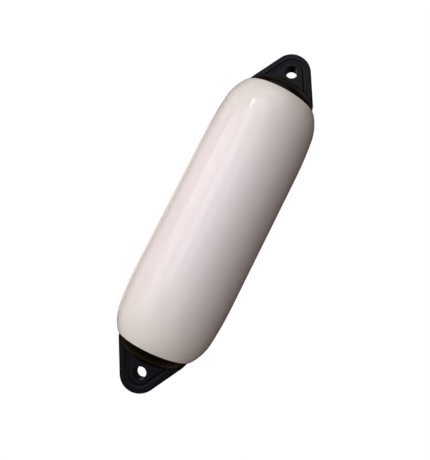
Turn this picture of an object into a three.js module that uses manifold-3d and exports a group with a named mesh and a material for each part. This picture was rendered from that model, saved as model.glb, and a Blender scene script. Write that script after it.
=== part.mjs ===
// Cylindrical boat fender with a rope eye at each end, in millimetres, +Z up.
// A blow-formed soft PVC shell closes on two moulded ends. Each end is a hollow dome that carries
// a flat eye plate, and a weld land on it seats behind the mouth of the shell.
// The origin is the centre of the upper rope hole, from which the fender hangs.
// The eye plates lie in the XZ plane, and the fender's axis is Z.

import * as THREE from "three";
import { mergeVertices } from "three/addons/utils/BufferGeometryUtils.js";
import Module from "manifold-3d";

const wasm = await Module();
wasm.setup();

// Driving dimensions of the shell
const BODY_DIAMETER = 150;
const STRAIGHT_LENGTH = 206;
const TAPER_LENGTH = 63;
const TAPER_END_ANGLE = THREE.MathUtils.degToRad(6.1);
const SHOULDER_RADIUS = 73;
const SHOULDER_END_ANGLE = THREE.MathUtils.degToRad(36.2);
const SHELL_WALL = 3.2;

// Driving dimensions of the moulded ends
const SEAT_GAP = 0.3;
const DOME_HEIGHT = 28.4;
const DOME_WALL = 5;
const LAND_ANGLE = THREE.MathUtils.degToRad(13);
const LAND_THICKNESS = 3;
const HOLE_DIAMETER = 18.2;
const HOLE_RIM_RADIUS = 1.2;
const HOLE_ABOVE_SEAM = 44;
const EYE_RADIUS = 29;
const PLATE_THICKNESS = 23.5;
const PLATE_EDGE_RADIUS = 3;
const FOOT_LEVEL = 7;
const FOOT_CORNER_RADIUS = 12;
const FOOT_SETBACK = 1.2;
const BORDER_WIDTH = 8.2;
const GROOVE_WIDTH = 5.6;
const GROOVE_DEPTH = 1.5;

// Driving dimensions of the inflation valve, on the back of the upper dome
const VALVE_REACH = 34;
const SPOT_DEPTH = 1.3;
const BUSH_FLANGE_RADIUS = 8.8;
const BUSH_FLANGE_THICKNESS = 1.6;
const BUSH_BARREL_RADIUS = 6.6;
const BUSH_LENGTH = 12;
const SCREW_HEAD_RADIUS = 4.6;
const SCREW_HEAD_THICKNESS = 2;
const SCREW_RADIUS = 2.8;
const SCREW_LENGTH = 9;
const SLOT_WIDTH = 1.3;
const SLOT_DEPTH = 1.1;
const WASHER_THICKNESS = 0.9;
const VALVE_CLEARANCE = 0.3;

// Facets
const ROUND_STEPS = 48;
const HOLE_STEPS = 32;
const GROOVE_STEPS = 30;
const VALVE_STEPS = 24;

const shellMaterial = new THREE.MeshStandardMaterial({ color: 0xf0e7e4, roughness: 0.28, metalness: 0 });
const endMaterial = new THREE.MeshStandardMaterial({ color: 0x171a21, roughness: 0.38, metalness: 0 });
const valveMaterial = new THREE.MeshStandardMaterial({ color: 0x1c1d20, roughness: 0.5, metalness: 0 });
const washerMaterial = new THREE.MeshStandardMaterial({ color: 0x2a2a2a, roughness: 0.7, metalness: 0 });
const screwMaterial = new THREE.MeshStandardMaterial({ color: 0x30343a, roughness: 0.42, metalness: 0 });

// Half of the shell's outer section: a straight wall, a slow taper arc and a tighter shoulder arc,
// each tangent to the one before. Angles are those of the outward normal above the horizontal.
const bodyRadius = BODY_DIAMETER / 2;
const taperRadius = TAPER_LENGTH / Math.sin(TAPER_END_ANGLE);
const taperCentre = new THREE.Vector2(bodyRadius - taperRadius, STRAIGHT_LENGTH / 2);
const shoulderCentre = taperCentre.clone().add(polar(taperRadius - SHOULDER_RADIUS, TAPER_END_ANGLE));

// The shell's cut edge is a half round, and the neck of the moulded end fits inside it.
const lipRadius = SHELL_WALL / 2;
const lipCentre = shoulderCentre.clone().add(polar(SHOULDER_RADIUS - lipRadius, SHOULDER_END_ANGLE));
const seamLevel = lipCentre.y;
const neckRadius = lipCentre.x - lipRadius - SEAT_GAP;
const holeLevel = seamLevel + HOLE_ABOVE_SEAM;
const halfThickness = PLATE_THICKNESS / 2;

function polar(radius, angle) {
  return new THREE.Vector2(Math.cos(angle), Math.sin(angle)).multiplyScalar(radius);
}

// Points along an arc, with both ends.
function arc(centre, radius, from, to, steps) {
  const points = [];
  for (let i = 0; i <= steps; i++) {
    points.push(centre.clone().add(polar(radius, from + ((to - from) * i) / steps)));
  }
  return points;
}

// Points along a quarter of an ellipse about the axis, from its rim up to its crown.
function domeCurve(radius, height, level, steps) {
  const points = [];
  for (let i = 0; i <= steps; i++) {
    const turn = (Math.PI / 2) * (i / steps);
    points.push(new THREE.Vector2(radius * Math.cos(turn), level + height * Math.sin(turn)));
  }
  points[steps].x = 0;
  return points;
}

// A section in (radius, height) turned about Z.
function turned(points, steps = ROUND_STEPS) {
  return new THREE.LatheGeometry(points, steps).rotateX(Math.PI / 2);
}

// An outline in (x, z) given a thickness along Y, centred on the XZ plane.
function slab(outline, thickness, settings) {
  const depth = thickness - 2 * settings.bevelThickness;
  const geometry = new THREE.ExtrudeGeometry(outline, { depth, ...settings });
  return geometry.translate(0, 0, -depth / 2).rotateX(Math.PI / 2);
}

// A closed geometry as a solid that can be joined and cut.
function solid(geometry) {
  const bare = geometry.clone();
  bare.deleteAttribute("normal");
  bare.deleteAttribute("uv");
  const welded = mergeVertices(bare, 1e-4);
  const index = welded.index.array;
  const triangles = [];
  for (let i = 0; i < index.length; i += 3) {
    const [a, b, c] = [index[i], index[i + 1], index[i + 2]];
    if (a !== b && b !== c && c !== a) triangles.push(a, b, c);
  }
  return new wasm.Manifold(new wasm.Mesh({
    numProp: 3,
    vertProperties: welded.attributes.position.array,
    triVerts: new Uint32Array(triangles),
  }));
}

function geometryOf(body) {
  const mesh = body.getMesh();
  const geometry = new THREE.BufferGeometry();
  geometry.setAttribute("position", new THREE.BufferAttribute(mesh.vertProperties, 3));
  geometry.setIndex(new THREE.BufferAttribute(mesh.triVerts, 1));
  geometry.computeVertexNormals();
  return geometry;
}

function named(name, geometry, material) {
  const mesh = new THREE.Mesh(geometry, material);
  mesh.name = name;
  return mesh;
}

// The upper half of one face of the shell, from the middle of the fender to its lip.
function shellSide(depth, taperSteps, shoulderSteps) {
  return [
    ...arc(taperCentre, taperRadius - depth, 0, TAPER_END_ANGLE, taperSteps).slice(0, -1),
    ...arc(shoulderCentre, SHOULDER_RADIUS - depth, TAPER_END_ANGLE, SHOULDER_END_ANGLE, shoulderSteps),
  ];
}

// The shell: an open tube whose wall keeps its thickness round both shoulders.
function shellGeometry() {
  const outside = shellSide(0, 3, 7);
  const lip = arc(lipCentre, lipRadius, SHOULDER_END_ANGLE, SHOULDER_END_ANGLE + Math.PI, 6).slice(1, -1);
  const inside = shellSide(SHELL_WALL, 2, 5).reverse();
  const upper = [...outside, ...lip, ...inside];
  const lower = upper.map((point) => new THREE.Vector2(point.x, -point.y)).reverse();
  return turned([...upper, ...lower, upper[0].clone()]);
}

// The hollow of a moulded end: the space under its dome.
const landRadius = SHOULDER_RADIUS - SHELL_WALL - SEAT_GAP;
const landInside = landRadius - LAND_THICKNESS;
const hollowRadius = neckRadius - DOME_WALL;
const hollowAngle = Math.acos((hollowRadius - shoulderCentre.x) / landInside);
const hollowLevel = shoulderCentre.y + landInside * Math.sin(hollowAngle);
const hollowHeight = seamLevel + DOME_HEIGHT - DOME_WALL - hollowLevel;

// The dome, its short neck, and the weld land that follows the inside of the shell's shoulder.
function domeSolid() {
  const neckAngle = Math.acos((neckRadius - shoulderCentre.x) / landRadius);
  const landEnd = neckAngle - LAND_ANGLE;
  const points = [
    ...domeCurve(hollowRadius, hollowHeight, hollowLevel, 7).reverse(),
    ...arc(shoulderCentre, landInside, hollowAngle, landEnd, 4).slice(1),
    ...arc(shoulderCentre, landRadius, landEnd, neckAngle, 3),
    ...domeCurve(neckRadius, DOME_HEIGHT, seamLevel, 9),
  ];
  return solid(turned(points));
}

function hollowSolid() {
  const points = [
    new THREE.Vector2(0, shoulderCentre.y),
    new THREE.Vector2(hollowRadius, shoulderCentre.y),
    ...domeCurve(hollowRadius, hollowHeight, hollowLevel, 7),
  ];
  return solid(turned(points));
}

// The plate's outline about the hole: the eye's arc, straight flanks tangent to it, and a rounded
// corner at each side of the foot. The foot's corners stay inside the mouth of the shell.
const footHalfWidth = Math.sqrt((neckRadius - FOOT_SETBACK) ** 2 - halfThickness ** 2);
const footCentre = new THREE.Vector2(footHalfWidth - FOOT_CORNER_RADIUS, FOOT_LEVEL - HOLE_ABOVE_SEAM);
const flankNormal =
  footCentre.angle() - 2 * Math.PI + Math.acos((EYE_RADIUS - FOOT_CORNER_RADIUS) / footCentre.length());

function plateOutline() {
  const outline = new THREE.Shape();
  outline.moveTo(-footHalfWidth, -HOLE_ABOVE_SEAM);
  outline.lineTo(footHalfWidth, -HOLE_ABOVE_SEAM);
  outline.absarc(footCentre.x, footCentre.y, FOOT_CORNER_RADIUS, 0, flankNormal);
  outline.absarc(0, 0, EYE_RADIUS, flankNormal, Math.PI - flankNormal);
  outline.absarc(-footCentre.x, footCentre.y, FOOT_CORNER_RADIUS, Math.PI - flankNormal, Math.PI);
  return outline;
}

// The middle line of the border groove runs parallel to the plate's outline, and down into the dome.
function grooveLine() {
  const radius = EYE_RADIUS - BORDER_WIDTH - GROOVE_WIDTH / 2;
  const foot = (radius + HOLE_ABOVE_SEAM * Math.sin(flankNormal)) / Math.cos(flankNormal);
  const shoulder = polar(radius, flankNormal);
  const line = new THREE.Path();
  line.moveTo(foot, -HOLE_ABOVE_SEAM);
  line.lineTo(shoulder.x, shoulder.y);
  line.absarc(0, 0, radius, flankNormal, Math.PI - flankNormal);
  line.lineTo(-foot, -HOLE_ABOVE_SEAM);
  const points = line.getSpacedPoints(GROOVE_STEPS);
  return new THREE.CatmullRomCurve3(points.map((point) => new THREE.Vector3(point.x, point.y, 0)));
}

// One face's groove, as a round bar that dips into the face by the groove's depth.
function grooveTool() {
  const radius = ((GROOVE_WIDTH / 2) ** 2 + GROOVE_DEPTH ** 2) / (2 * GROOVE_DEPTH);
  const bar = new THREE.Shape();
  bar.absarc(0, 0, radius, 0, 2 * Math.PI);
  const tool = new THREE.ExtrudeGeometry(bar, {
    extrudePath: grooveLine(),
    steps: GROOVE_STEPS,
    curveSegments: 8,
  });
  return solid(tool.rotateX(Math.PI / 2).translate(0, halfThickness + radius - GROOVE_DEPTH, 0));
}

// The rope hole, with a rounded rim at each face.
function holeTool() {
  const rimRadius = HOLE_DIAMETER / 2 + HOLE_RIM_RADIUS;
  const rimCentre = new THREE.Vector2(rimRadius, halfThickness - HOLE_RIM_RADIUS);
  const upper = [
    ...arc(rimCentre, HOLE_RIM_RADIUS, Math.PI, Math.PI / 2, 3),
    new THREE.Vector2(rimRadius, PLATE_THICKNESS),
    new THREE.Vector2(0, PLATE_THICKNESS),
  ];
  const lower = upper.map((point) => new THREE.Vector2(point.x, -point.y)).reverse();
  return solid(new THREE.LatheGeometry([...lower, ...upper], HOLE_STEPS));
}

function eyePlateSolid() {
  const edges = {
    bevelThickness: PLATE_EDGE_RADIUS,
    bevelSize: PLATE_EDGE_RADIUS,
    bevelOffset: -PLATE_EDGE_RADIUS,
    bevelSegments: 3,
    curveSegments: 6,
  };
  const groove = grooveTool();
  return solid(slab(plateOutline(), PLATE_THICKNESS, edges))
    .subtract(groove)
    .subtract(groove.rotate([0, 0, 180]))
    .subtract(holeTool())
    .translate([0, 0, holeLevel])
    .subtract(hollowSolid());
}

function endSolid() {
  return domeSolid().add(eyePlateSolid());
}

// The valve stands square to the dome's skin at its reach from the axis.
const valveTurn = Math.acos(VALVE_REACH / neckRadius);
const valveTilt = Math.atan2(VALVE_REACH / neckRadius ** 2, Math.sin(valveTurn) / DOME_HEIGHT);
const valvePlace = [0, VALVE_REACH, seamLevel + DOME_HEIGHT * Math.sin(valveTurn)];
const screwSeat = SCREW_HEAD_THICKNESS + WASHER_THICKNESS + 2 * VALVE_CLEARANCE;
const bushTop = BUSH_FLANGE_THICKNESS + SEAT_GAP - SPOT_DEPTH;
const washerRadius = SCREW_HEAD_RADIUS;

function section(...pairs) {
  return pairs.map(([radius, height]) => new THREE.Vector2(radius, height));
}

// The spot face and the hole that the bush sits in.
function valveTool() {
  const spotRadius = BUSH_FLANGE_RADIUS + VALVE_CLEARANCE;
  const barrelRadius = BUSH_BARREL_RADIUS + SEAT_GAP;
  const points = section(
    [0, -BUSH_LENGTH],
    [barrelRadius, -BUSH_LENGTH],
    [barrelRadius, -SPOT_DEPTH],
    [spotRadius, -SPOT_DEPTH],
    [spotRadius, BUSH_LENGTH],
    [0, BUSH_LENGTH],
  );
  return solid(turned(points, VALVE_STEPS))
    .rotate([-THREE.MathUtils.radToDeg(valveTilt), 0, 0])
    .translate(valvePlace);
}

// A flanged bush with a counterbore for the screw's head and a bore for its shank.
function bushGeometry() {
  const bore = SCREW_RADIUS + VALVE_CLEARANCE;
  const counterbore = SCREW_HEAD_RADIUS + VALVE_CLEARANCE;
  const rim = BUSH_FLANGE_THICKNESS / 4;
  const points = section(
    [bore, bushTop - BUSH_LENGTH],
    [BUSH_BARREL_RADIUS - rim, bushTop - BUSH_LENGTH],
    [BUSH_BARREL_RADIUS, bushTop - BUSH_LENGTH + rim],
    [BUSH_BARREL_RADIUS, bushTop - BUSH_FLANGE_THICKNESS],
    [BUSH_FLANGE_RADIUS, bushTop - BUSH_FLANGE_THICKNESS],
    [BUSH_FLANGE_RADIUS, bushTop - rim],
    [BUSH_FLANGE_RADIUS - rim, bushTop],
    [counterbore, bushTop],
    [counterbore, bushTop - screwSeat],
    [bore, bushTop - screwSeat],
    [bore, bushTop - BUSH_LENGTH],
  );
  return turned(points, VALVE_STEPS);
}

function washerGeometry() {
  const bore = SCREW_RADIUS + VALVE_CLEARANCE;
  const foot = bushTop - screwSeat + VALVE_CLEARANCE;
  const points = section(
    [bore, foot],
    [washerRadius, foot],
    [washerRadius, foot + WASHER_THICKNESS],
    [bore, foot + WASHER_THICKNESS],
    [bore, foot],
  );
  return turned(points, VALVE_STEPS);
}

// A slotted cheese-head screw that stops the air.
function screwGeometry() {
  const headFoot = bushTop - SCREW_HEAD_THICKNESS;
  const rim = SCREW_HEAD_THICKNESS / 5;
  const tip = headFoot - SCREW_LENGTH;
  const blank = turned(section(
    [0, tip],
    [SCREW_RADIUS - rim, tip],
    [SCREW_RADIUS, tip + rim],
    [SCREW_RADIUS, headFoot],
    [SCREW_HEAD_RADIUS, headFoot],
    [SCREW_HEAD_RADIUS, bushTop - rim],
    [SCREW_HEAD_RADIUS - rim, bushTop],
    [0, bushTop],
  ), VALVE_STEPS);
  const slot = new THREE.BoxGeometry(3 * SCREW_HEAD_RADIUS, SLOT_WIDTH, 2 * SLOT_DEPTH);
  return geometryOf(solid(blank).subtract(solid(slot.translate(0, 0, bushTop))));
}

function valveGroup() {
  const group = new THREE.Group();
  group.add(
    named("valve_bush", bushGeometry(), valveMaterial),
    named("valve_washer", washerGeometry(), washerMaterial),
    named("valve_screw", screwGeometry(), screwMaterial),
  );
  group.position.set(...valvePlace);
  group.rotation.x = -valveTilt;
  return group;
}

const fender = new THREE.Group();
fender.position.z = -holeLevel;
fender.add(named("body_shell", shellGeometry(), shellMaterial));
fender.add(named("upper_end", geometryOf(endSolid().subtract(valveTool())), endMaterial));
fender.add(valveGroup());

const lowerEnd = named("lower_end", geometryOf(endSolid()), endMaterial);
lowerEnd.rotation.y = Math.PI;
fender.add(lowerEnd);

export default fender;
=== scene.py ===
# %% [markdown]
# # A boat fender with two rope eyes
#
# The object is a small cylindrical fender: a white shell, closed at both ends by black moulded domes.
# Each dome carries a flat plate with a rope hole. Fenders of this kind are made of soft PVC, so the
# finishes are those of PVC. This script dresses the CAD model of the fender: it keeps every size, and
# gives the surfaces the look that they have in the photograph.

# %% Load the CAD model
import math

import bmesh
import bpy
from mathutils import Matrix, Vector


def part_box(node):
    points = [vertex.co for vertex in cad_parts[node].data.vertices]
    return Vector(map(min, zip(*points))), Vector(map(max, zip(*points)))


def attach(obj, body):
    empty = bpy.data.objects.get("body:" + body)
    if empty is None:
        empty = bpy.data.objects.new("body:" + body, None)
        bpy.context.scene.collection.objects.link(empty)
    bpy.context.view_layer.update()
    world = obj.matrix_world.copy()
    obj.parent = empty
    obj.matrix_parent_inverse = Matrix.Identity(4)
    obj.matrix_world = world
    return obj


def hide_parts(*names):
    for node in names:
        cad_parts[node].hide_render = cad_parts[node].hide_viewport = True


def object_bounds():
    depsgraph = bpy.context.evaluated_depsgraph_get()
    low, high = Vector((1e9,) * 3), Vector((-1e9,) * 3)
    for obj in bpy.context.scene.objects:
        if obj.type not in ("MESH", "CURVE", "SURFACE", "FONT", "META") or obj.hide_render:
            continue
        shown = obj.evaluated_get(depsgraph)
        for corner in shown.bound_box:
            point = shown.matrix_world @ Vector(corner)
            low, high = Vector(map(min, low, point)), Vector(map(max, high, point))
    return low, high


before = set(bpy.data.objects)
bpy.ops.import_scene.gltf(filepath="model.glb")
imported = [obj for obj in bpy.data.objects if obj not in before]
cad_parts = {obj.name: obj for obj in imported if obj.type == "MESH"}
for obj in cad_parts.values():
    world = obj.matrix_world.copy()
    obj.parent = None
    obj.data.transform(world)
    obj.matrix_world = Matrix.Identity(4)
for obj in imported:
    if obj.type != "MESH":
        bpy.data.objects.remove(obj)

cad_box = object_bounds()
print("CAD nodes:", sorted(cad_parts))

# %% [markdown]
# ## The shell's section
#
# Blender works in metres and the fender's sizes are in millimetres, so one small factor turns the one
# into the other. The shell's radius and height are read from the box of its CAD node. Its wall and the
# radii and angles of its arcs can't be read from a box, so they are written here, as a drawing would
# give them. The straight length follows from them, and so do the neck's radius and the level of the
# seam, where a black end meets the shell.

# %% Shell section
MM = 0.001
TAPER_LENGTH = 63 * MM
TAPER_END_ANGLE = math.radians(6.1)
SHOULDER_RADIUS = 73 * MM
SHOULDER_END_ANGLE = math.radians(36.2)
SHELL_WALL = 3.2 * MM
SEAT_GAP = 0.3 * MM


def polar(radius, angle):
    return Vector((radius * math.cos(angle), radius * math.sin(angle)))


shell_low, shell_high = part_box("body_shell")
body_radius = shell_high.x
middle = (shell_low.z + shell_high.z) / 2
taper_radius = TAPER_LENGTH / math.sin(TAPER_END_ANGLE)
lip_radius = SHELL_WALL / 2

# The shell's shoulder ends at its lip, so the straight length follows from the shell's height.
lip_rise = (SHOULDER_RADIUS - lip_radius) * math.sin(SHOULDER_END_ANGLE)
shoulder_rise = lip_rise - SHOULDER_RADIUS * math.sin(TAPER_END_ANGLE)
straight_half = shell_high.z - middle - lip_radius - shoulder_rise - TAPER_LENGTH
taper_centre = Vector((body_radius - taper_radius, straight_half))
shoulder_centre = taper_centre + polar(taper_radius - SHOULDER_RADIUS, TAPER_END_ANGLE)
lip_centre = shoulder_centre + polar(SHOULDER_RADIUS - lip_radius, SHOULDER_END_ANGLE)
neck_radius = lip_centre.x - lip_radius - SEAT_GAP
seam = middle + lip_centre.y
print(f"straight half {straight_half / MM:.2f} mm")
print(f"neck radius {neck_radius / MM:.2f} mm, upper seam at {seam / MM:.2f} mm")

# %% [markdown]
# ## The camera
#
# A camera was fitted to the edges in the photograph. It stands about 75 cm away, a little to the right
# of the plates' front, and the fender leans in its picture. A camera has no lean of its own here: it
# looks at a point, and is then rolled about its line of sight. The fender lies left of the optical
# centre, which a sideways shift of the sensor gives.

# %% Camera
IMAGE_SIZE = (430, 460)
SENSOR = 36.0
FOCAL_PIXELS = 498.6
SHIFT_PIXELS = -71.1
CAMERA_PLACE = Vector((121.4, -731.4, -273.2)) * MM
AIM_PLACE = Vector((95.5, 15.8, -213.3)) * MM
CAMERA_ROLL = math.radians(26.2)
NEAREST_SEEN = 0.05


def add_camera():
    camera = bpy.data.objects.new("camera", bpy.data.cameras.new("camera"))
    bpy.context.scene.collection.objects.link(camera)
    camera.data.sensor_width = SENSOR
    camera.data.lens = FOCAL_PIXELS * SENSOR / max(IMAGE_SIZE)
    camera.data.shift_x = SHIFT_PIXELS / max(IMAGE_SIZE)
    camera.data.clip_start = NEAREST_SEEN
    look = (AIM_PLACE - CAMERA_PLACE).to_track_quat("-Z", "Y").to_matrix().to_4x4()
    camera.matrix_world = Matrix.Translation(CAMERA_PLACE) @ look @ Matrix.Rotation(CAMERA_ROLL, 4, "Z")
    bpy.context.scene.camera = camera
    return camera


camera = add_camera()
print(f"lens {camera.data.lens:.1f} mm, shift {camera.data.shift_x:.3f}")

# %% [markdown]
# ## One object at a time
#
# Every operator acts on what is selected, and the model arrives with its parts selected. So each
# piece of work starts by selecting one object alone. A primitive is added at its size and place, and
# its place is then settled into its mesh, which keeps every object at the origin.

# %% One object


def only(obj):
    """Makes obj the one selected, active object."""
    bpy.ops.object.select_all(action="DESELECT")
    obj.select_set(True)
    bpy.context.view_layer.objects.active = obj


def new_piece(name):
    """Names the primitive just added and settles its place into its mesh."""
    piece = bpy.context.object
    piece.name = name
    piece.data.name = name
    only(piece)
    bpy.ops.object.transform_apply(location=True, rotation=True, scale=True)
    return piece


def apply(piece, kind, **settings):
    """Adds one modifier and applies it at once."""
    only(piece)
    modifier = piece.modifiers.new(kind.lower(), kind)
    for key, value in settings.items():
        setattr(modifier, key, value)
    bpy.ops.object.modifier_apply(modifier=modifier.name)
    return piece


# %% [markdown]
# ## Edit mode
#
# In edit mode, points and edges are picked by a test on their place, as a hand would pick them by eye.
# Places are compared within two hundredths of a millimetre, because a computed point is rarely exact.

# %% Edit mode
NEAR = 0.02 * MM


def edit(piece, mode="VERT"):
    """Opens a piece in edit mode with nothing selected."""
    only(piece)
    bpy.ops.object.mode_set(mode="EDIT")
    bpy.ops.mesh.select_mode(type=mode)
    bpy.ops.mesh.select_all(action="DESELECT")


def done():
    bpy.ops.object.mode_set(mode="OBJECT")


def select_everything():
    bpy.ops.mesh.select_all(action="SELECT")


def pick(piece, kind, test):
    """Selects, in edit mode, the verts or edges of a piece that pass a test, and counts them."""
    bm = bmesh.from_edit_mesh(piece.data)
    bm.normal_update()
    chosen = [element for element in getattr(bm, kind) if test(element)]
    for element in chosen:
        element.select_set(True)
    bm.select_flush_mode()
    bmesh.update_edit_mesh(piece.data)
    return len(chosen)


def round_edges(piece, test, radius, segments):
    """Rounds the edges that pass a test, and counts them."""
    edit(piece, "EDGE")
    count = pick(piece, "edges", test)
    bpy.ops.mesh.bevel(offset=radius, segments=segments, affect="EDGES")
    done()
    return count


# %% [markdown]
# ## Rings and arcs
#
# The round pieces are built as rings. A section is a list of stations, each a radius and a height, and
# its round stretches are arcs. One ring of edges is extruded from station to station, and scaled to
# each new radius on the way.

# %% Rings and arcs


def arc(centre, radius, start, end, steps):
    """Points (radius, height) along an arc, both ends included."""
    return [centre + polar(radius, start + (end - start) * i / steps) for i in range(steps + 1)]


def walk_rings(stations, base):
    """Extrudes the selected ring of edges through stations of (radius, height above base)."""
    at = stations[0]
    for station in stations[1:]:
        bpy.ops.mesh.extrude_region_move(TRANSFORM_OT_translate={"value": (0, 0, station.y - at.y)})
        share = station.x / at.x
        bpy.ops.transform.resize(value=(share, share, 1), center_override=(0, 0, base + station.y))
        at = station


# %% [markdown]
# ## Finishing a mesh
#
# Joined and mirrored shapes leave double points, and faces that point inwards. So the doubles are
# merged first, and every face is turned outwards after that. Smooth shading stops at real corners and
# follows the larger faces, so that flat faces stay flat beside a rounded edge.

# %% Finishing
DOUBLES_GAP = 0.01 * MM
CORNER_ANGLE = math.radians(35)
LARGE_FACE_WEIGHT = 80


def tidy(piece, gap=DOUBLES_GAP):
    """Merges doubles and turns every face outwards."""
    edit(piece)
    select_everything()
    bpy.ops.mesh.remove_doubles(threshold=gap)
    bpy.ops.mesh.normals_make_consistent(inside=False)
    done()
    return piece


def smooth(piece):
    """Smooth shading that keeps real corners and leaves flat faces flat."""
    only(piece)
    bpy.ops.object.shade_smooth_by_angle(angle=CORNER_ANGLE)
    return apply(piece, "WEIGHTED_NORMAL", keep_sharp=True, weight=LARGE_FACE_WEIGHT)


def report(piece):
    """Counts a piece's triangles, and its open edges, of which a closed one has none."""
    triangles = sum(len(p.vertices) - 2 for p in piece.data.polygons)
    bm = bmesh.new()
    bm.from_mesh(piece.data)
    open_edges = sum(1 for e in bm.edges if len(e.link_faces) != 2)
    bm.free()
    print(f"{piece.name}: {triangles} triangles, {open_edges} open edges")


# %% [markdown]
# ## The shell
#
# A shell of this kind is formed hollow and in one piece, so its wall is given one thickness, and its
# outline has no corner: a straight middle, a slow taper, a tighter shoulder, and a rounded edge at
# each mouth. It could be a turned curve, but a ring of edges that is extruded and scaled up the
# section is the way it would be done by hand, and it leaves even four-sided faces. The upper half is
# modelled, and the lower half is its mirror image.

# %% Shell
SHELL_SEGMENTS = 144
OUTSIDE_STEPS = (10, 22)
INSIDE_STEPS = (5, 9)
LIP_STEPS = 10


def shell_section(depth, taper_steps, shoulder_steps):
    """Stations from the middle to the lip, at a depth below the outside."""
    taper = arc(taper_centre, taper_radius - depth, 0, TAPER_END_ANGLE, taper_steps)
    shoulder_reach = SHOULDER_RADIUS - depth
    shoulder = arc(shoulder_centre, shoulder_reach, TAPER_END_ANGLE, SHOULDER_END_ANGLE, shoulder_steps)
    return [Vector((body_radius - depth, 0)), *taper, *shoulder[1:]]


def make_shell():
    outside = shell_section(0, *OUTSIDE_STEPS)
    lip = arc(lip_centre, lip_radius, SHOULDER_END_ANGLE, SHOULDER_END_ANGLE + math.pi, LIP_STEPS)
    inside = shell_section(SHELL_WALL, *INSIDE_STEPS)[::-1]
    bpy.ops.mesh.primitive_circle_add(vertices=SHELL_SEGMENTS, radius=body_radius, location=(0, 0, middle))
    shell = new_piece("shell")
    edit(shell)
    select_everything()
    walk_rings([*outside, *lip[1:-1], *inside], middle)
    select_everything()
    bpy.ops.mesh.duplicate()
    bpy.ops.transform.resize(value=(1, 1, -1), center_override=(0, 0, middle))
    done()
    return smooth(tidy(shell))


shell = make_shell()
report(shell)

# %% [markdown]
# ## The domes
#
# Each end is one moulding: a hollow dome, a short neck, and behind the shell's mouth a land that
# follows the inside of its shoulder. The hollow's level and height follow from the walls.

# %% Dome sizes
DOME_HEIGHT = 28.4 * MM
DOME_WALL = 5 * MM
LAND_ANGLE = math.radians(13)
LAND_THICKNESS = 3 * MM

land_radius = SHOULDER_RADIUS - SHELL_WALL - SEAT_GAP
land_inside = land_radius - LAND_THICKNESS
hollow_radius = neck_radius - DOME_WALL
hollow_angle = math.acos((hollow_radius - shoulder_centre.x) / land_inside)
hollow_level = shoulder_centre.y + land_inside * math.sin(hollow_angle)
hollow_height = lip_centre.y + DOME_HEIGHT - DOME_WALL - hollow_level
print(f"hollow radius {hollow_radius / MM:.2f} mm, height {hollow_height / MM:.2f} mm")

# %% [markdown]
# The dome starts as a sphere with its poles on the Y axis, and not on the fender's axis, because its
# rings then run along the plate's faces and meet them cleanly. The sphere is halved and flattened, and
# its open edge is extruded down into the neck, round the land and up into the hollow.

# %% Dome
DOME_SEGMENTS = 96
DOME_RINGS = 48
LAND_STEPS = 5
HOLLOW_STEPS = 12
HALVING_GAP = 0.001 * MM


def half_egg(name, radius, height, level):
    """The upper half of a sphere, flattened to height, with its rim at level; left in edit mode."""
    bpy.ops.mesh.primitive_uv_sphere_add(
        segments=DOME_SEGMENTS,
        ring_count=DOME_RINGS,
        radius=radius,
        location=(0, 0, level),
        rotation=(math.pi / 2, 0, 0),
    )
    egg = new_piece(name)
    edit(egg)
    select_everything()
    bpy.ops.mesh.bisect(plane_co=(0, 0, level), plane_no=(0, 0, 1), clear_inner=True, threshold=HALVING_GAP)
    select_everything()
    bpy.ops.transform.resize(value=(1, 1, height / radius), center_override=(0, 0, level))
    bpy.ops.mesh.select_all(action="DESELECT")
    return egg


def on_level(level):
    """A test for points at one level."""
    return lambda v: abs(v.co.z - level) < NEAR


def dome_stations():
    """The section from the neck round the land and up into the hollow, with its top left open."""
    neck_angle = math.acos((neck_radius - shoulder_centre.x) / land_radius)
    land_end = neck_angle - LAND_ANGLE
    turns = [math.pi / 2 * i / HOLLOW_STEPS for i in range(1, HOLLOW_STEPS)]
    return [
        Vector((neck_radius, lip_centre.y)),
        *arc(shoulder_centre, land_radius, neck_angle, land_end, LAND_STEPS),
        *arc(shoulder_centre, land_inside, land_end, hollow_angle, LAND_STEPS),
        *(Vector((hollow_radius * math.cos(t), hollow_level + hollow_height * math.sin(t))) for t in turns),
    ]


def make_dome():
    dome = half_egg("dome", neck_radius, DOME_HEIGHT, seam)
    pick(dome, "verts", on_level(seam))
    walk_rings(dome_stations(), middle)
    bpy.ops.mesh.edge_face_add()
    done()
    return tidy(dome)


dome = make_dome()
report(dome)

# %% [markdown]
# ## The eye plate
#
# The plate's outline is a round eye on straight flanks that spread to a wide foot. A stretched band
# takes that shape round a large disc and two small ones. The foot's corners stay inside the shell's
# mouth by a small setback, and the lean of the flanks follows from the discs.

# %% Plate sizes
EYE_RADIUS = 29 * MM
PLATE_THICKNESS = 23.5 * MM
FOOT_LEVEL = 7 * MM
FOOT_CORNER_RADIUS = 12 * MM
FOOT_SETBACK = 1.2 * MM

half_plate = PLATE_THICKNESS / 2
foot_half = math.sqrt((neck_radius - FOOT_SETBACK) ** 2 - half_plate**2)
foot_centre = Vector((foot_half - FOOT_CORNER_RADIUS, seam + FOOT_LEVEL))
centres_to_normal = math.acos((EYE_RADIUS - FOOT_CORNER_RADIUS) / foot_centre.length)
flank_normal = math.atan2(foot_centre.y, foot_centre.x) + centres_to_normal
flank_out = polar(1, flank_normal)
flank_down = Vector((flank_out.y, -flank_out.x))
print(f"flanks lean {math.degrees(flank_normal):.1f} degrees")

# %% [markdown]
# The blank of the plate is the convex hull of an eye disc, two foot discs and a base block, which is
# Blender's own stretched band. The outline could also be drawn and filled, but the hull finds where
# the flanks touch the discs by itself. The blank is cut off at the seam, and the edges of its two
# faces are rounded.

# %% Plate blank
PLATE_EDGE_RADIUS = 3 * MM
EYE_VERTICES = 120
FOOT_VERTICES = 72
EDGE_SEGMENTS = 6
FLAT_ANGLE = math.radians(0.3)


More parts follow.
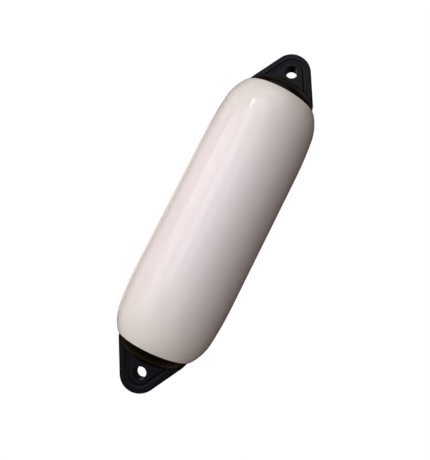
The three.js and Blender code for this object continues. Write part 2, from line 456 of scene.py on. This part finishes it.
def join(target, *others):
    only(target)
    for other in others:
        other.select_set(True)
    bpy.ops.object.join()
    return target


def disc(x, z, radius, thickness, vertices):
    """A cylinder along Y, centred on the plate's middle plane."""
    bpy.ops.mesh.primitive_cylinder_add(
        vertices=vertices, radius=radius, depth=thickness, location=(x, 0, z), rotation=(math.pi / 2, 0, 0)
    )
    return new_piece("disc")


def block(name, size, z):
    """A block with its centre on the fender's axis."""
    bpy.ops.mesh.primitive_cube_add(size=1, location=(0, 0, z))
    bpy.context.object.scale = size
    return new_piece(name)


def hull(name, *pieces):
    """The tight skin round several pieces, with its flat faces in one piece each."""
    body = join(*pieces)
    body.name = name
    edit(body)
    select_everything()
    bpy.ops.mesh.convex_hull(join_triangles=False)
    select_everything()
    bpy.ops.mesh.dissolve_limited(angle_limit=FLAT_ANGLE)
    done()
    return tidy(body)


def on_face(edge):
    """True for an edge that lies in one of the plate's two faces."""
    one, other = (v.co.y for v in edge.verts)
    return abs(abs(one) - half_plate) < NEAR and abs(one - other) < NEAR


def on_outline(edge):
    """True for the edges of the two faces, apart from those that the cut at the seam leaves."""
    return on_face(edge) and not all(map(on_level(seam), edge.verts))


def make_blank():
    eye = disc(0, 0, EYE_RADIUS, PLATE_THICKNESS, EYE_VERTICES)
    feet = [
        disc(side * foot_centre.x, foot_centre.y, FOOT_CORNER_RADIUS, PLATE_THICKNESS, FOOT_VERTICES)
        for side in (1, -1)
    ]
    base = block("base", (2 * foot_half, PLATE_THICKNESS, FOOT_LEVEL), seam + FOOT_LEVEL / 2)
    blank = hull("plate", eye, *feet, base)
    edit(blank)
    select_everything()
    bpy.ops.mesh.bisect(plane_co=(0, 0, seam), plane_no=(0, 0, 1), clear_inner=True, use_fill=True)
    done()
    round_edges(blank, on_outline, PLATE_EDGE_RADIUS, EDGE_SEGMENTS)
    return blank


plate = make_blank()
report(plate)

# %% [markdown]
# ## The groove
#
# A shallow groove follows the plate's outline on both faces. It could be inset and pushed in, but that
# leaves a flat floor. So a round bar is spun about the eye, drawn down along both flanks, and cut away.
# The bar's radius follows from the groove's width and depth.

# %% Groove
BORDER_WIDTH = 8.2 * MM
GROOVE_WIDTH = 5.6 * MM
GROOVE_DEPTH = 1.5 * MM
BAR_VERTICES = 40
BAR_TURN_STEPS = 48
BAR_OVERRUN = 2 * MM

bar_radius = ((GROOVE_WIDTH / 2) ** 2 + GROOVE_DEPTH**2) / (2 * GROOVE_DEPTH)
bar_path = EYE_RADIUS - BORDER_WIDTH - GROOVE_WIDTH / 2
print(f"groove bar radius {bar_radius / MM:.2f} mm, {bar_path / MM:.2f} mm from the hole's axis")


def groove_bar(side):
    """The round bar that leaves one groove; side is -1 for the front and 1 for the back."""
    level = side * (half_plate + bar_radius - GROOVE_DEPTH)
    start = polar(bar_path, flank_normal)
    length = (start.y - seam) / flank_out.x + BAR_OVERRUN
    bpy.ops.mesh.primitive_circle_add(
        vertices=BAR_VERTICES,
        radius=bar_radius,
        location=(start.x, level, start.y),
        rotation=(0, math.pi - flank_normal, 0),
    )
    bar = new_piece("groove_bar")
    edit(bar)
    select_everything()
    turn = math.pi - 2 * flank_normal
    bpy.ops.mesh.spin(steps=BAR_TURN_STEPS, angle=turn, center=(0, level, 0), axis=(0, 1, 0))
    for flank in (1, -1):
        end = Vector((flank * start.x, level, start.y))
        bpy.ops.mesh.select_all(action="DESELECT")
        pick(bar, "verts", lambda v: abs((v.co - end).length - bar_radius) < NEAR)
        drop = (flank * flank_down.x * length, 0, flank_down.y * length)
        bpy.ops.mesh.extrude_region_move(TRANSFORM_OT_translate={"value": drop})
        bpy.ops.mesh.edge_face_add()
    done()
    return tidy(bar)


def cut(piece, tool, operation="DIFFERENCE"):
    """Cuts a piece with a tool, or fuses the two. The tool is then thrown away."""
    apply(piece, "BOOLEAN", operation=operation, object=tool, solver="EXACT")
    bpy.data.objects.remove(tool)
    return piece


cut(plate, groove_bar(-1))
cut(plate, groove_bar(1))
report(plate)

# %% [markdown]
# ## The rope hole
#
# A rope runs over the rims of the hole, so they are rounded, and the groove's lips are softened too.
# Both are edges in the plate's faces. The rims are found by their distance from the hole's axis, and
# the lips by how far they are from the middle of the groove.

# %% Rope hole
HOLE_RADIUS = 9.1 * MM
HOLE_RIM_RADIUS = 1.2 * MM
HOLE_VERTICES = 96
GROOVE_LIP = 0.6 * MM
LIP_SEGMENTS = 3
NEAR_LIP = 0.06 * MM


def reach(vert):
    """How far a point is from the hole's axis, or from its parallel to the flanks beside them."""
    x, z = abs(vert.co.x), vert.co.z
    if math.atan2(z, x) < flank_normal:
        return x * flank_out.x + z * flank_out.y
    return math.hypot(x, z)


def on_rim(edge):
    return on_face(edge) and all(abs(math.hypot(v.co.x, v.co.z) - HOLE_RADIUS) < NEAR for v in edge.verts)


def on_lip(edge):
    from_lip = (abs(abs(reach(v) - bar_path) - GROOVE_WIDTH / 2) for v in edge.verts)
    return on_face(edge) and all(distance < NEAR_LIP for distance in from_lip)


cut(plate, disc(0, 0, HOLE_RADIUS, 2 * PLATE_THICKNESS, HOLE_VERTICES))
print("hole rims:", round_edges(plate, on_rim, HOLE_RIM_RADIUS, EDGE_SEGMENTS), "edges")
print("groove lips:", round_edges(plate, on_lip, GROOVE_LIP, LIP_SEGMENTS), "edges")
report(plate)

# %% [markdown]
# ## One moulding
#
# The plate is trimmed where it would show inside the dome's hollow, and is then fused with the dome.
# The lower end is a copy, turned over about the Y axis.

# %% Ends
MERGE_GAP = 0.06 * MM
HOLLOW_TOOL_DEPTH = 20 * MM


def make_end():
    hollow = half_egg("hollow", hollow_radius, hollow_height, middle + hollow_level)
    pick(hollow, "verts", on_level(middle + hollow_level))
    bpy.ops.mesh.extrude_region_move(TRANSFORM_OT_translate={"value": (0, 0, -HOLLOW_TOOL_DEPTH)})
    bpy.ops.mesh.edge_face_add()
    done()
    cut(plate, tidy(hollow))
    end = cut(dome, plate, "UNION")
    end.name = "upper_moulding"
    return tidy(end, MERGE_GAP)


def turned_copy(piece, name):
    only(piece)
    bpy.ops.object.duplicate()
    copy = bpy.context.object
    copy.name = name
    edit(copy)
    select_everything()
    bpy.ops.transform.resize(value=(-1, 1, -1), center_override=(0, 0, middle))
    done()
    return tidy(copy)


upper = make_end()
lower = turned_copy(upper, "lower_moulding")
report(upper)
report(lower)

# %% [markdown]
# ## The inflation valve
#
# A fender of this kind is filled through a small valve. The photograph doesn't show one, so it sits
# on the hidden side of the upper dome: a flanged bush in a shallow spot face, and a slotted plug screw
# on a rubber washer. Its place and tilt follow from the dome's curve at one distance from the axis.

# %% Valve sizes
VALVE_REACH = 34 * MM
SPOT_DEPTH = 1.3 * MM
FLANGE_RADIUS = 8.8 * MM
FLANGE_THICKNESS = 1.6 * MM
BARREL_RADIUS = 6.6 * MM
BUSH_LENGTH = 12 * MM
HEAD_RADIUS = 4.6 * MM
HEAD_THICKNESS = 2 * MM
SHANK_RADIUS = 2.8 * MM
SHANK_LENGTH = 9 * MM
WASHER_THICKNESS = 0.9 * MM
CLEARANCE = 0.3 * MM

valve_turn = math.acos(VALVE_REACH / neck_radius)
valve_tilt = math.atan2(VALVE_REACH / neck_radius**2, math.sin(valve_turn) / DOME_HEIGHT)
valve_place = Vector((0, VALVE_REACH, seam + DOME_HEIGHT * math.sin(valve_turn)))
bush_top = FLANGE_THICKNESS + SEAT_GAP - SPOT_DEPTH
print(f"valve tilted {math.degrees(valve_tilt):.1f} degrees, at {valve_place.z / MM:.1f} mm")

# %% [markdown]
# The bush, the screw and the tool that cuts their seat are turned parts. So each is one circle of
# edges that is extruded through its section, and its outer corners are then rounded with a bevel. They
# are made upright on the fender's axis, where a section is easy to write, and then carried to their
# place.

# %% Turned parts
VALVE_SEGMENTS = 64


def turned_part(name, stations, ring=False):
    """A part turned about Z: a ring with a bore, or a solid pin with capped ends."""
    stations = [Vector(s) for s in stations]
    start = stations[0]
    fill = "NOTHING" if ring else "NGON"
    bpy.ops.mesh.primitive_circle_add(
        vertices=VALVE_SEGMENTS, radius=start.x, location=(0, 0, start.y), fill_type=fill
    )
    piece = new_piece(name)
    edit(piece)
    select_everything()
    walk_rings([*stations, start] if ring else stations, 0)
    done()
    return tidy(piece)


def on_corner(radius, level):
    """A test for the edges that run round a turned part at one radius and level."""
    def near(v):
        return abs(math.hypot(v.co.x, v.co.y) - radius) < NEAR and abs(v.co.z - level) < NEAR
    return lambda edge: all(map(near, edge.verts))


def to_valve(piece):
    """Carries a part from its own axis to the valve's place on the dome."""
    only(piece)
    piece.location = valve_place
    piece.rotation_euler = (-valve_tilt, 0, 0)
    bpy.ops.object.transform_apply(location=True, rotation=True, scale=True)
    return piece


# %% [markdown]
# The bush is a ring: its barrel stands in the dome, its flange in the spot face, and its bore widens
# at the top for the washer and the screw's head.

# %% Bush
FLANGE_ROUND = 0.7 * MM
COUNTERBORE_ROUND = 0.3 * MM
BARREL_ROUND = 0.4 * MM
SEEN_SEGMENTS = 4
SMALL_SEGMENTS = 3


def make_bush():
    bore = SHANK_RADIUS + CLEARANCE
    counterbore = HEAD_RADIUS + CLEARANCE
    counterbore_floor = bush_top - (HEAD_THICKNESS + WASHER_THICKNESS + 2 * CLEARANCE)
    foot = bush_top - BUSH_LENGTH
    bush = turned_part("bush", [
        (bore, foot),
        (BARREL_RADIUS, foot),
        (BARREL_RADIUS, bush_top - FLANGE_THICKNESS),
        (FLANGE_RADIUS, bush_top - FLANGE_THICKNESS),
        (FLANGE_RADIUS, bush_top),
        (counterbore, bush_top),
        (counterbore, counterbore_floor),
        (bore, counterbore_floor),
    ], ring=True)
    round_edges(bush, on_corner(FLANGE_RADIUS, bush_top), FLANGE_ROUND, SEEN_SEGMENTS)
    round_edges(bush, on_corner(counterbore, bush_top), COUNTERBORE_ROUND, SMALL_SEGMENTS)
    round_edges(bush, on_corner(BARREL_RADIUS, foot), BARREL_ROUND, SMALL_SEGMENTS)
    return bush


bush = to_valve(make_bush())
report(bush)

# %% [markdown]
# The screw is a solid pin: a shank under a wide head, which has a slot cut across it for a coin or a
# flat blade.

# %% Screw
HEAD_ROUND = 0.4 * MM
SHANK_ROUND = 0.5 * MM
SLOT_WIDTH = 1.3 * MM
SLOT_DEPTH = 1.1 * MM


def make_screw():
    head_foot = bush_top - HEAD_THICKNESS
    tip = head_foot - SHANK_LENGTH
    screw = turned_part("plug_screw", [
        (SHANK_RADIUS, tip), (SHANK_RADIUS, head_foot), (HEAD_RADIUS, head_foot), (HEAD_RADIUS, bush_top),
    ])
    round_edges(screw, on_corner(HEAD_RADIUS, bush_top), HEAD_ROUND, SEEN_SEGMENTS)
    round_edges(screw, on_corner(SHANK_RADIUS, tip), SHANK_ROUND, SMALL_SEGMENTS)
    return cut(screw, block("slot", (3 * HEAD_RADIUS, SLOT_WIDTH, 2 * SLOT_DEPTH), bush_top))


screw = to_valve(make_screw())
report(screw)

# %% [markdown]
# One turned tool cuts both the spot face and the bush's hole in the upper dome.

# %% Valve seat


def cut_valve_seat(piece):
    barrel = BARREL_RADIUS + SEAT_GAP
    spot = FLANGE_RADIUS + CLEARANCE
    seat = turned_part("seat", [
        (barrel, -BUSH_LENGTH), (barrel, -SPOT_DEPTH), (spot, -SPOT_DEPTH), (spot, BUSH_LENGTH),
    ])
    return tidy(cut(piece, to_valve(seat)))


cut_valve_seat(upper)
for piece in (bush, screw, upper, lower):
    smooth(piece)
report(upper)

# %% [markdown]
# ## Shader helper
#
# Materials are written as expressions. A small class wraps a node's output, and each operator adds
# the Math node that it stands for. One method makes any other node.

# %% Shader helper


class Wire:
    """One output of a node tree, usable in arithmetic."""

    def __init__(self, tree, socket):
        self.tree = tree
        self.socket = socket

    def node(self, kind, settings=None, inputs=None, output=0):
        return add_node(self.tree, kind, settings, inputs, output)

    def math(self, operation, other=0.0):
        return self.node("ShaderNodeMath", {"operation": operation}, {0: self, 1: other})

    def __add__(self, other):
        return self.math("ADD", other)

    def __radd__(self, other):
        return self.math("ADD", other)

    def __sub__(self, other):
        return self.math("SUBTRACT", other)

    def __rsub__(self, other):
        return self.node("ShaderNodeMath", {"operation": "SUBTRACT"}, {0: other, 1: self})

    def __mul__(self, other):
        if isinstance(other, tuple):
            return self.node("ShaderNodeVectorMath", {"operation": "MULTIPLY"}, {0: self, 1: other})
        return self.math("MULTIPLY", other)

    def __rmul__(self, other):
        return self * other


def add_node(tree, kind, settings=None, inputs=None, output=0):
    """Adds a node: its settings are set first, then the values or wires of its sockets."""
    node = tree.nodes.new(kind)
    for key, value in (settings or {}).items():
        if key == "stops":
            ramp = node.color_ramp
            while len(ramp.elements) < len(value):
                ramp.elements.new(1.0)
            for element, (place, colour) in zip(ramp.elements, value):
                element.position = place
                element.color = colour
        else:
            setattr(node, key, value)
    for key, value in (inputs or {}).items():
        if isinstance(value, Wire):
            tree.links.new(value.socket, node.inputs[key])
        else:
            node.inputs[key].default_value = value
    return Wire(tree, node.outputs[output]) if len(node.outputs) else None


# %% [markdown]
# A finish here is made of the same few things: noise on the piece's own coordinates, a value that is
# spread from one range to another, a blend of two colours, and a fine bump. Each gets a short name.
# A constant goes on the shader's own socket, and only what changes over the surface is wired.

# %% Finish helpers


def new_material(name, constants):
    """A material with one Principled shader, whose constant sockets are set here."""
    material = bpy.data.materials.new(name)
    material.use_nodes = True
    tree = material.node_tree
    tree.nodes.clear()
    shader = add_node(tree, "ShaderNodeBsdfPrincipled", inputs=constants)
    add_node(tree, "ShaderNodeOutputMaterial", inputs={"Surface": shader})
    return material, tree, shader.socket.node


def feed(tree, shader, links):
    for key, wire in links.items():
        tree.links.new(wire.socket, shader.inputs[key])


def object_place(tree):
    return add_node(tree, "ShaderNodeTexCoord", output="Object")


def noise(place, scale, detail, roughness=0.5):
    values = {"Vector": place, "Scale": scale, "Detail": detail, "Roughness": roughness}
    return place.node("ShaderNodeTexNoise", None, values)


def along(place, axis):
    return place.node("ShaderNodeSeparateXYZ", None, {"Vector": place}, axis)


def spread(value, source, target=(0.0, 1.0), curve="LINEAR"):
    """Carries a value from one range to another, and holds it there beyond both ends."""
    ranges = {"From Min": source[0], "From Max": source[1], "To Min": target[0], "To Max": target[1]}
    return value.node("ShaderNodeMapRange", {"interpolation_type": curve}, {"Value": value, **ranges})


def blend(share, first, second):
    """One colour where the share is 0, and the other where it is 1."""
    colours = {"Factor": share, "A": first, "B": second}
    return share.node("ShaderNodeMix", {"data_type": "RGBA"}, colours, "Result")


def ramp(value, dark, light):
    """Dark below and light above the middle of the noise, with a soft change between."""
    return value.node("ShaderNodeValToRGB", {"stops": [(0.3, dark), (0.7, light)]}, {"Fac": value})


def bump(height, strength, distance):
    values = {"Strength": strength, "Distance": distance, "Height": height}
    return height.node("ShaderNodeBump", None, values)


# %% [markdown]
# ## The white shell
#
# The shell is glossy and a warm white. In the picture it is a little pinker round its middle than near
# its ends, which may be a tint of the light there. Here two tints are blended by the distance from the
# middle. Faint cloudy patches and a very fine orange peel are guesses at the plastic, and they keep the
# large plain surface from looking computed.

# %% Shell finish
BLUSH = (0.856, 0.774, 0.790, 1)
IVORY = (0.830, 0.777, 0.744, 1)
BLUSH_FADE = (0.07, 0.2)
CLOUD_NOISE = (0.3, 0.7)
CLOUD_SHADES = (0.985, 1.01)
SHELL_ROUGHNESS = 0.12
SHELL_CLOUD_ROUGHNESS = 0.08


def shell_finish():
    material, tree, shader = new_material("white_pvc", {"IOR": 1.5, "Specular IOR Level": 0.5})
    place = object_place(tree)
    clouds = noise(place, scale=9.0, detail=3.0, roughness=0.55)
    peel = noise(place, scale=520.0, detail=2.0)
    from_middle = (along(place, "Z") - middle).math("ABSOLUTE")
    tint = blend(spread(from_middle, BLUSH_FADE, curve="SMOOTHSTEP"), BLUSH, IVORY)
    shade = spread(clouds, CLOUD_NOISE, CLOUD_SHADES)
    feed(tree, shader, {
        "Base Color": tint.node("ShaderNodeVectorMath", {"operation": "SCALE"}, {0: tint, "Scale": shade}),
        "Roughness": SHELL_ROUGHNESS + clouds * SHELL_CLOUD_ROUGHNESS,
        "Normal": bump(peel, strength=0.05, distance=0.4 * MM),
    })
    return material


white_pvc = shell_finish()
print("finish:", white_pvc.name)

# %% [markdown]
# ## The black ends
#
# Each end is one moulding, yet in the picture its plate is a dull navy black and its dome a warmer, glossier
# black. Those tints are painted reflections: a navy black is painted on the plate and a warm black on the
# dome, and the two meet at the plate's faces. That may lie in the plastic or in what it mirrors, which the
# picture can't tell. Here it is painted: two blacks meet at the plate's faces, and a thin coat on the dome
# fades with the distance from the plate, because the picture's golden reflection fades that way.

# %% End finish
# Painted reflections: the navy blacks stand in for a bluish reflection on the plate, the warm black for a
# warm one on the dome.
NAVY_REFLECTION_DARK = (0.0038, 0.0052, 0.0082, 1)
NAVY_REFLECTION_LIGHT = (0.0053, 0.007, 0.011, 1)
WARM_REFLECTION_BLACK = (0.0022, 0.002, 0.0015, 1)
COLOUR_EDGE = 0.4 * MM
POLISH_REACH = (24 * MM, 46 * MM)
POLISH_WEIGHT = (0.34, 0.06)
END_ROUGHNESS = 0.3
END_CLOUD_ROUGHNESS = 0.1


def end_finish():
    material, tree, shader = new_material("black_pvc", {
        "IOR": 1.5, "Specular IOR Level": 0.1, "Coat Roughness": 0.12, "Coat IOR": 1.45,
    })
    place = object_place(tree)
    clouds = noise(place, scale=30.0, detail=3.0, roughness=0.6)
    grain = noise(place, scale=900.0, detail=2.0, roughness=0.6)
    aside = along(place, "Y").math("ABSOLUTE")
    on_dome = spread(aside, (half_plate, half_plate + COLOUR_EDGE))
    polish = spread(aside, POLISH_REACH, POLISH_WEIGHT, "SMOOTHSTEP")
    feed(tree, shader, {
        # The base colour paints a navy reflection on the plate and a warm reflection on the dome, over one
        # black plastic.
        "Base Color": blend(on_dome, ramp(clouds, NAVY_REFLECTION_DARK, NAVY_REFLECTION_LIGHT), WARM_REFLECTION_BLACK),
        "Roughness": END_ROUGHNESS + clouds * END_CLOUD_ROUGHNESS,
        "Normal": bump(grain, strength=0.12, distance=0.2 * MM),
        "Coat Weight": on_dome * polish,
    })
    return material


black_pvc = end_finish()
print("finish:", black_pvc.name)

# %% [markdown]
# ## The valve's finishes
#
# The valve isn't in the picture, so its three finishes are guesses, and one recipe serves them all: a
# cloudy dark colour, an even sheen and a fine grain. The bush is a satin PVC, the screw a slightly
# glossier nylon, and the washer a matt rubber with the finest grain.

# %% Valve finishes
PLASTIC_GRAIN = 1500.0
RUBBER_GRAIN = 2500.0
SMALL_CLOUD_ROUGHNESS = 0.1


def small_part_finish(name, dark, light, roughness, gloss, grain_scale=PLASTIC_GRAIN):
    material, tree, shader = new_material(name, {"IOR": 1.5, "Specular IOR Level": gloss})
    place = object_place(tree)
    clouds = noise(place, scale=160.0, detail=2.0)
    grain = noise(place, scale=grain_scale, detail=2.0)
    feed(tree, shader, {
        "Base Color": ramp(clouds, dark, light),
        "Roughness": roughness + clouds * SMALL_CLOUD_ROUGHNESS,
        "Normal": bump(grain, strength=0.15, distance=0.1 * MM),
    })
    return material


satin_pvc = small_part_finish(
    "satin_pvc", dark=(0.011, 0.011, 0.013, 1), light=(0.017, 0.017, 0.019, 1), roughness=0.35, gloss=0.35
)
nylon = small_part_finish(
    "satin_nylon", dark=(0.033, 0.036, 0.042, 1), light=(0.046, 0.051, 0.058, 1), roughness=0.32, gloss=0.5
)
rubber = small_part_finish(
    "washer_rubber",
    dark=(0.024, 0.024, 0.024, 1),
    light=(0.036, 0.036, 0.036, 1),
    roughness=0.75,
    gloss=0.25,
    grain_scale=RUBBER_GRAIN,
)
print("finishes:", satin_pvc.name, nylon.name, rubber.name)

# %% [markdown]
# ## Dressing the model
#
# Each finished piece takes the place of one CAD node, rides on the fender's one body, and fills one
# material slot. The washer is hidden under the screw's head, so its CAD mesh stays and gets its finish.

# %% Dress


def wear(piece, material):
    piece.data.materials.clear()
    piece.data.materials.append(material)


def dress(piece, material, body, slot, *nodes):
    wear(piece, material)
    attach(piece, body)
    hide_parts(*nodes)


dress(shell, white_pvc, "root", "shell_white", "body_shell")
dress(upper, black_pvc, "root", "end_black", "upper_end")
dress(lower, black_pvc, "root", "end_black", "lower_end")
dress(bush, satin_pvc, "root", "valve_black", "valve_bush")
dress(screw, nylon, "root", "valve_screw", "valve_screw")
wear(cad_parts["valve_washer"], rubber)
print("dressed:", shell.name, upper.name, lower.name, bush.name, screw.name)

# %% [markdown]
# ## The studio: a white ground
#
# The picture has a plain white ground. A light path tells a camera ray from the rays that carry light,
# so the world can be white to the eye, while the surfaces get only the dim, warm light of a room. A
# glossy surface sees a small share of the white as well.

# %% World
ROOM_LIGHT = (0.038, 0.018, 0.011, 1)
ROOM_SEEN_IN_GLOSS = 0.04
WHITE = (1, 1, 1, 1)


def eye_rays(tree, gloss):
    """1 for what the camera sees, straight or through glass, and gloss for what a glossy surface sees."""
    straight = add_node(tree, "ShaderNodeLightPath", output="Is Camera Ray")
    through_glass = Wire(tree, straight.socket.node.outputs["Is Transmission Ray"])
    glossy = Wire(tree, straight.socket.node.outputs["Is Glossy Ray"])
    return (straight + through_glass + glossy * gloss).math("MINIMUM", 1.0)


def add_world():
    world = bpy.data.worlds.new("studio")
    bpy.context.scene.world = world
    world.use_nodes = True
    tree = world.node_tree
    tree.nodes.clear()
    ground = add_node(tree, "ShaderNodeBackground", inputs={"Color": WHITE})
    room = add_node(tree, "ShaderNodeBackground", inputs={"Color": ROOM_LIGHT})
    seen = eye_rays(tree, ROOM_SEEN_IN_GLOSS)
    mix = add_node(tree, "ShaderNodeMixShader", inputs={0: seen, 1: room, 2: ground})
    add_node(tree, "ShaderNodeOutputWorld", inputs={"Surface": mix})
    return world


print("world:", add_world().name)

# %% [markdown]
# ## The studio: the floor
#
# The floor is white to the eye too, except in a soft pool under the fender, where its paint and the
# fender's shadow come through. To glossy rays alone it glows amber, a painted light that no camera ray
# sees, most of all in a broad band that runs behind the fender from side to side. That glow is a
# stand-in: the domes mirror something golden that is out of sight. It could be a lamp, but a lamp
# there would light the shell and the walls of the rope holes as well.

# %% Floor
FLOOR_SIZE = 12
FLOOR_DROP = 0.42
FLOOR_PAINT = {"Base Color": (0.82, 0.82, 0.82, 1), "Roughness": 0.9}
FLOOR_IN_GLOSS = (0.19, 0.128, 0.062, 1)
AMBER_CENTRE = 0.15
AMBER_REACH = (0.22, 0.5)
AMBER_STRENGTH = (1.0, 0.15)
POOL_RADIUS = (0.12, 0.5)
POOL_STRENGTH = 0.45


def add_floor():
    bpy.ops.mesh.primitive_plane_add(size=FLOOR_SIZE, location=(0, 0, cad_box[0][2] - FLOOR_DROP))
    floor = new_piece("floor")
    material, tree, paint = new_material("floor_paint", FLOOR_PAINT)
    place = object_place(tree)
    away = place.node("ShaderNodeVectorMath", {"operation": "LENGTH"}, {0: place * (1, 1, 0)}, "Value")
    clear = spread(away, POOL_RADIUS, (1 - POOL_STRENGTH, 1.0), "SMOOTHSTEP")
    across = (along(place, "Y") - AMBER_CENTRE).math("ABSOLUTE")
    amber_strength = spread(across, AMBER_REACH, AMBER_STRENGTH)
    # The amber is a painted glow that only glossy rays see; it draws the golden reflection on the domes.
    amber = add_node(tree, "ShaderNodeEmission", inputs={"Color": FLOOR_IN_GLOSS, "Strength": amber_strength})
    white = add_node(tree, "ShaderNodeEmission", inputs={"Color": WHITE})
    painted = Wire(tree, paint.outputs["BSDF"])
    glossy = add_node(tree, "ShaderNodeLightPath", output="Is Glossy Ray")
    lit = add_node(tree, "ShaderNodeMixShader", inputs={0: glossy, 1: painted, 2: amber})
    mix = add_node(tree, "ShaderNodeMixShader", inputs={0: eye_rays(tree, 0) * clear, 1: lit, 2: white})
    tree.links.new(mix.socket, tree.nodes["Material Output"].inputs["Surface"])
    wear(floor, material)
    return floor


print("floor:", add_floor().name)

# %% [markdown]
# ## The studio: soft lamps
#
# The white body shows how it was lit: it is brightest about thirty-five degrees to the left of the
# camera, and falls evenly to a dark right edge. Four wide lamps side by side give that slope, and one
# overhead lights the upper shoulder. A narrow upright lamp draws the long faint streak, and a tiny one
# in a small glow the bright spot on the shoulder. The lamps at the side and the back are warm. They
# stand clear of what the walls of the rope holes mirror to the camera, and the high one draws the
# golden band where the upper dome meets its plate. The strengths were found by comparing renders with
# the picture.

# %% Lamps
# Each lamp: azimuth and elevation in degrees, distance and size in metres, watts, and a tint if it is warm.
LAMPS = {
    "key": (-42, 0, 1.6, (1.2, 1.8), 8.15),
    "second": (-18, 11, 1.6, (1.2, 1.6), 6.4),
    "front": (10, -2, 1.6, (1.2, 1.6), 3.3),
    "left": (-62, -2, 1.6, (1.0, 1.8), 2.85),
    "overhead": (-12, 52, 1.6, (1.5, 1.3), 5.0),
    "side": (-95, 2, 1.5, (0.8, 1.4), 1.5, (1.0, 0.8, 0.55)),
    "strip": (-66, 8, 1.5, (0.2, 0.9), 0.9),
    "glow": (-36, 33, 1.6, (0.45, 0.4), 0.55),
    "bulb": (-44, 30, 1.5, (0.1, 0.1), 0.36),
    "back_left": (-146, -4, 1.8, (0.8, 1.4), 2.3, (1.0, 0.84, 0.66)),
    "back_high": (176, 66, 1.8, (1.9, 0.9), 1.0, (1.0, 0.78, 0.42)),
}


def add_lamp(name, azimuth, elevation, distance, size, watts, tint=WHITE[:3]):
    """A soft oval lamp; its azimuth is measured from the plates' front towards +X."""
    lamp = bpy.data.objects.new(name, bpy.data.lights.new(name, "AREA"))
    bpy.context.scene.collection.objects.link(lamp)
    lamp.data.shape = "ELLIPSE"
    lamp.data.size, lamp.data.size_y = size
    lamp.data.energy = watts
    lamp.data.color = tint
    turn, rise = math.radians(azimuth), math.radians(elevation)
    away = Vector((math.sin(turn) * math.cos(rise), -math.cos(turn) * math.cos(rise), math.sin(rise)))
    aim = (-away).to_track_quat("-Z", "Y").to_matrix().to_4x4()
    lamp.matrix_world = Matrix.Translation(Vector((0, 0, middle)) + away * distance) @ aim


for name, values in LAMPS.items():
    add_lamp(name, *values)
bpy.context.scene.view_settings.view_transform = "Standard"
print("lamps:", ", ".join(LAMPS))
